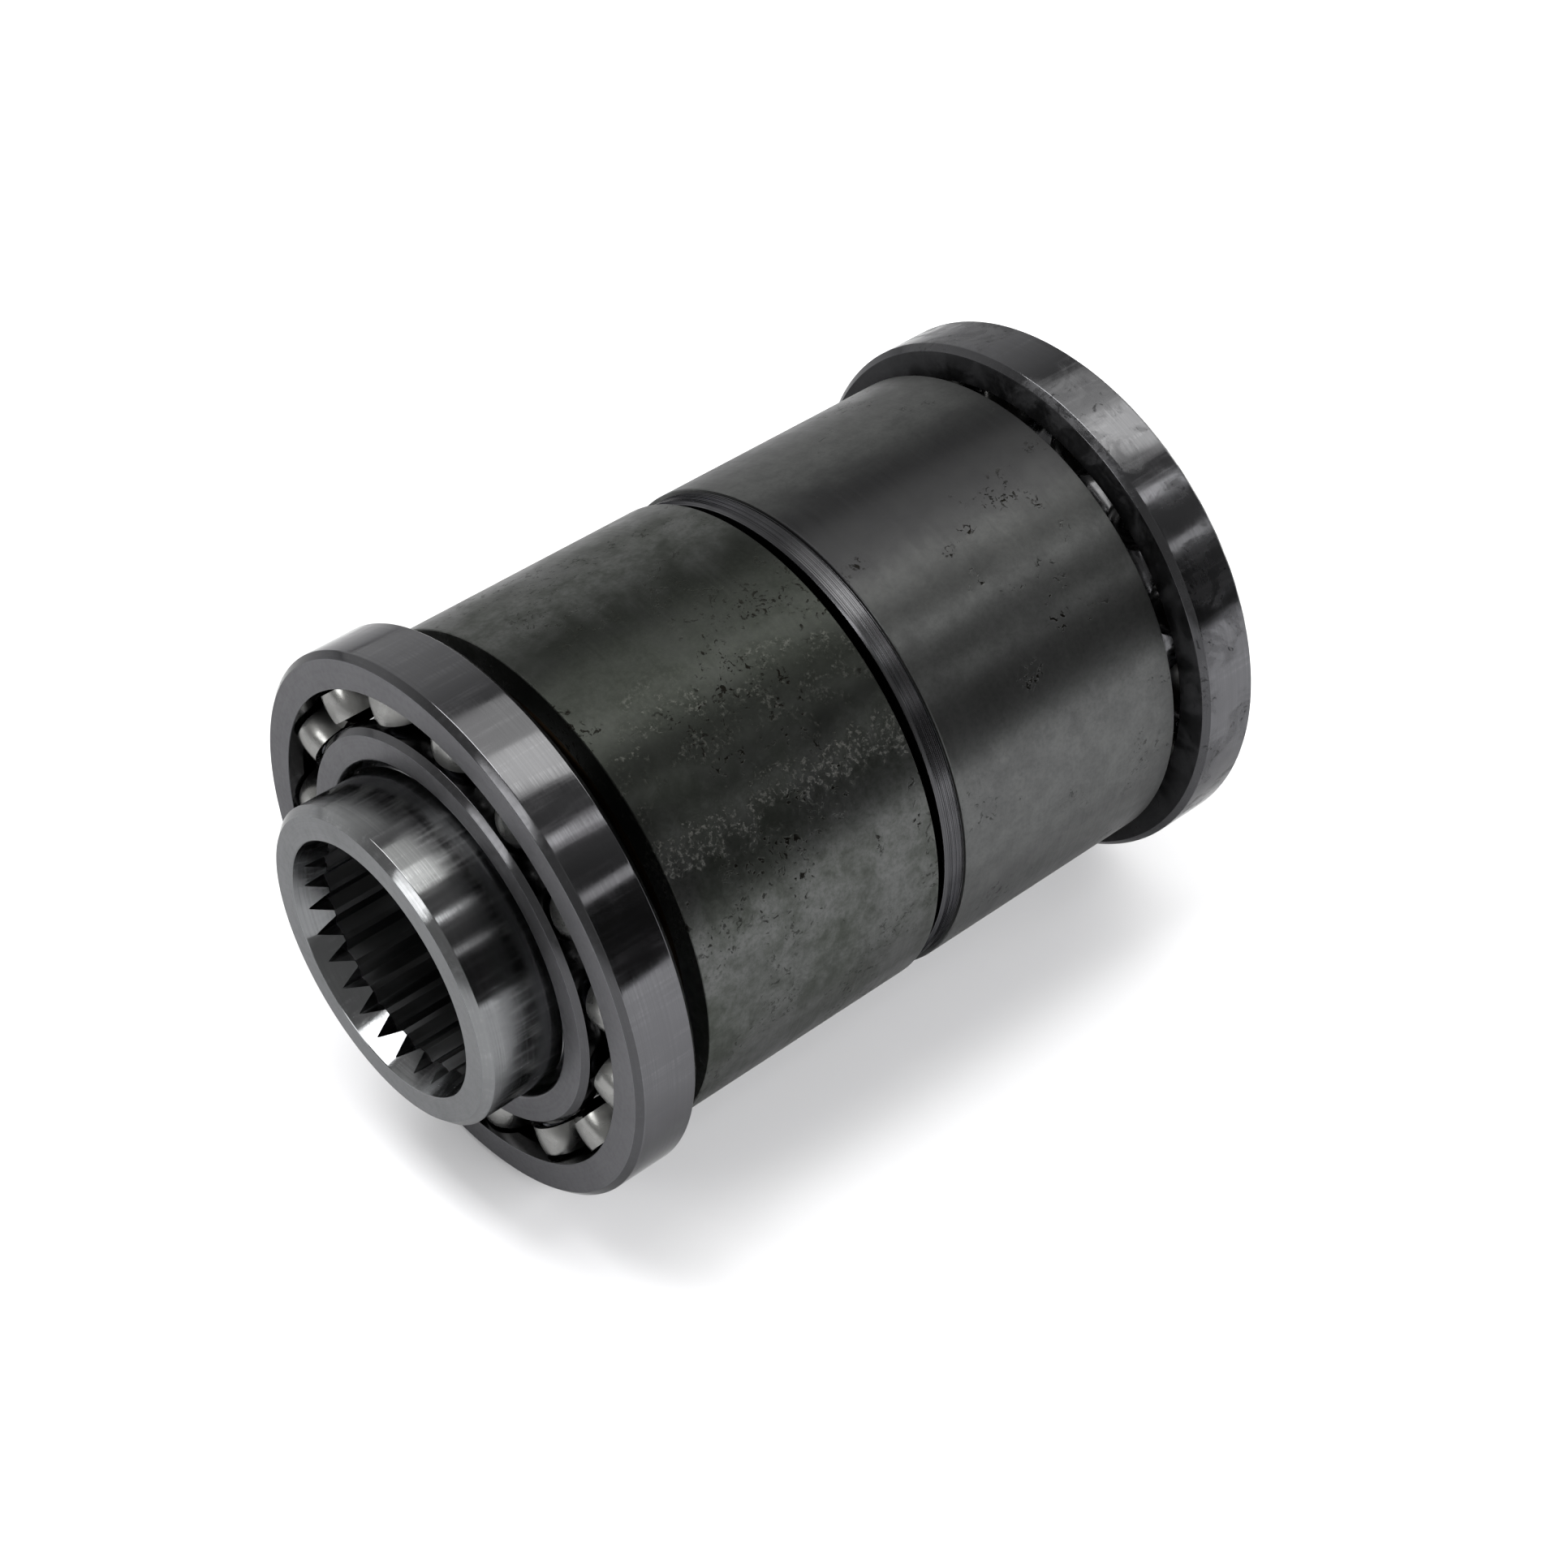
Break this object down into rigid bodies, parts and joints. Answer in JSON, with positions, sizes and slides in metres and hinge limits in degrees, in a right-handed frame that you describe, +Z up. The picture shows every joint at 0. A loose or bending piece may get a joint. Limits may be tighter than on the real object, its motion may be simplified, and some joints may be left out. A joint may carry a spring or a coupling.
{
  "type": "splined one-way clutch cartridge",
  "caption": "Splined hub with a ball bearing at each end and two cylindrical one-way clutch sleeves between them, parted by a narrow turned ring.",
  "frame": {"origin": "on the shaft axis, halfway along the hub", "axes": "X along the shaft, the splined mouth that the picture shows faces -X; Z up, Y across"},
  "size_m": [0.146, 0.0896, 0.0896],
  "materials": {
    "hub_steel": "ground and polished hardened steel",
    "bearing_steel": "ground bearing steel",
    "ball_steel": "lapped bearing steel balls",
    "cage_steel": "pressed bright steel sheet",
    "sleeve_steel": "ground hardened steel with oil stains and pits",
    "sprag_steel": "hardened drawn steel, oiled",
    "spacer_steel": "turned steel with fine tool lines",
    "bush_bronze": "turned bearing bronze"
  },
  "bodies": {
    "hub": {"splined_hub": "hub_steel", "middle_spacer_ring": "spacer_steel", "front_thrust_spacer": "spacer_steel", "rear_thrust_spacer": "spacer_steel", "front_bearing_inner_ring": "bearing_steel", "rear_bearing_inner_ring": "bearing_steel"},
    "front_outer_ring": {"front_bearing_outer_ring": "bearing_steel"},
    "front_ball_set": {"front_ball_01": "ball_steel", "front_ball_02": "ball_steel", "front_ball_03": "ball_steel", "front_ball_04": "ball_steel", "front_ball_05": "ball_steel", "front_ball_06": "ball_steel", "front_ball_07": "ball_steel", "front_ball_08": "ball_steel", "front_ball_09": "ball_steel", "front_ball_10": "ball_steel", "front_ball_11": "ball_steel", "front_ball_12": "ball_steel", "front_ball_13": "ball_steel", "front_ball_14": "ball_steel", "front_ball_15": "ball_steel", "front_cage_outboard_half": "cage_steel", "front_cage_inboard_half": "cage_steel"},
    "front_clutch": {"front_clutch_sleeve": "sleeve_steel", "front_sprag_set": "sprag_steel", "front_sprag_spring": "sprag_steel", "front_clutch_front_bush": "bush_bronze", "front_clutch_rear_bush": "bush_bronze"},
    "rear_outer_ring": {"rear_bearing_outer_ring": "bearing_steel"},
    "rear_ball_set": {"rear_ball_01": "ball_steel", "rear_ball_02": "ball_steel", "rear_ball_03": "ball_steel", "rear_ball_04": "ball_steel", "rear_ball_05": "ball_steel", "rear_ball_06": "ball_steel", "rear_ball_07": "ball_steel", "rear_ball_08": "ball_steel", "rear_ball_09": "ball_steel", "rear_ball_10": "ball_steel", "rear_ball_11": "ball_steel", "rear_ball_12": "ball_steel", "rear_ball_13": "ball_steel", "rear_ball_14": "ball_steel", "rear_ball_15": "ball_steel", "rear_cage_outboard_half": "cage_steel", "rear_cage_inboard_half": "cage_steel"},
    "rear_clutch": {"rear_clutch_sleeve": "sleeve_steel", "rear_sprag_set": "sprag_steel", "rear_sprag_spring": "sprag_steel", "rear_clutch_front_bush": "bush_bronze", "rear_clutch_rear_bush": "bush_bronze"}
  },
  "joints": [
    {"name": "front_outer_ring_turn", "type": "hinge", "parent": "hub", "child": "front_outer_ring", "pos_m": [-0.0554, 0, 0], "axis": [1, 0, 0], "continuous": true},
    {"name": "front_ball_set_orbit", "type": "hinge", "parent": "hub", "child": "front_ball_set", "pos_m": [-0.0554, 0, 0], "axis": [1, 0, 0], "continuous": true},
    {"name": "front_clutch_overrun", "type": "hinge", "parent": "hub", "child": "front_clutch", "pos_m": [-0.0228, 0, 0], "axis": [1, 0, 0], "range_deg": [0, 360]},
    {"name": "rear_outer_ring_turn", "type": "hinge", "parent": "hub", "child": "rear_outer_ring", "pos_m": [0.0582, 0, 0], "axis": [1, 0, 0], "continuous": true},
    {"name": "rear_ball_set_orbit", "type": "hinge", "parent": "hub", "child": "rear_ball_set", "pos_m": [0.0582, 0, 0], "axis": [1, 0, 0], "continuous": true},
    {"name": "rear_clutch_overrun", "type": "hinge", "parent": "hub", "child": "rear_clutch", "pos_m": [0.0272, 0, 0], "axis": [1, 0, 0], "range_deg": [0, 360]}
  ],
  "couplings": [
    {"joint": "front_ball_set_orbit", "follows": "front_outer_ring_turn", "ratio": 0.5547},
    {"joint": "rear_ball_set_orbit", "follows": "rear_outer_ring_turn", "ratio": 0.5547}
  ]
}
